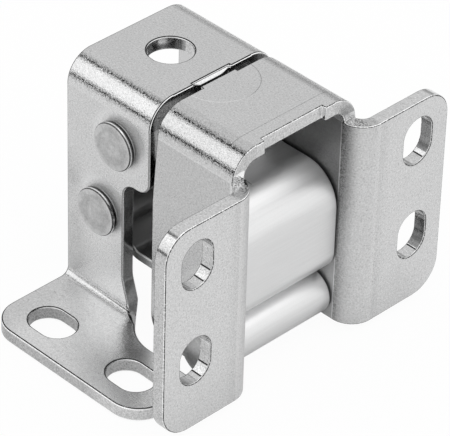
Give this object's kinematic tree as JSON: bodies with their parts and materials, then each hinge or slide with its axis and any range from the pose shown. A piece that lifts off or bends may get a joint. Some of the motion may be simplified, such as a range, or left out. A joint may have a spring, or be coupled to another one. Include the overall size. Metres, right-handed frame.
{
  "type": "concealed multi-joint cabinet hinge",
  "caption": "Concealed four-bar hinge: two slotted sheet-metal brackets joined by a gooseneck lever and a straight lever on riveted pins.",
  "frame": {"origin": "centre of the four flange slots, on the frame bracket's mounting face", "axes": "+X from the frame bracket to the door bracket, out of the door face; +Y along the pivot pins; +Z away from the frame bracket's mounting face"},
  "size_m": [0.0415, 0.0622, 0.045],
  "materials": {
    "frame_bracket": "satin zinc-plated sheet steel",
    "door_bracket": "satin zinc-plated sheet steel",
    "levers": "smooth satin zinc-plated steel",
    "pins": "satin turned steel",
    "washers": "satin zinc-plated steel"
  },
  "bodies": {
    "frame": {"frame_bracket": "frame_bracket", "frame_upper_pin": "pins", "frame_lower_pin": "pins", "frame_upper_washer_left": "washers", "frame_upper_washer_right": "washers", "frame_lower_washer_left": "washers", "frame_lower_washer_right": "washers"},
    "upper_lever": {"upper_lever": "levers"},
    "door": {"door_bracket": "door_bracket", "door_upper_pin": "pins", "door_lower_pin": "pins", "door_upper_washer_left": "washers", "door_upper_washer_right": "washers", "door_lower_washer_left": "washers", "door_lower_washer_right": "washers"},
    "lower_lever": {"lower_lever": "levers"}
  },
  "joints": [
    {"name": "upper_lever_turn", "type": "hinge", "parent": "frame", "child": "upper_lever", "pos_m": [-0.00545, 0, 0.0346], "axis": [0, -1, 0], "range_deg": [0, 47.63]},
    {"name": "door_turn", "type": "hinge", "parent": "upper_lever", "child": "door", "pos_m": [0.01545, 0, 0.0149], "axis": [0, 1, 0], "range_deg": [0, 137.63]},
    {"name": "lower_lever_turn", "type": "hinge", "parent": "door", "child": "lower_lever", "pos_m": [0.01515, 0, 0.0052], "axis": [0, -1, 0], "range_deg": [0, 157.9]}
  ],
  "couplings": [
    {"joint": "upper_lever_turn", "follows": "door_turn", "ratio": 0.34609},
    {"joint": "lower_lever_turn", "follows": "door_turn", "ratio": 1.1472}
  ]
}
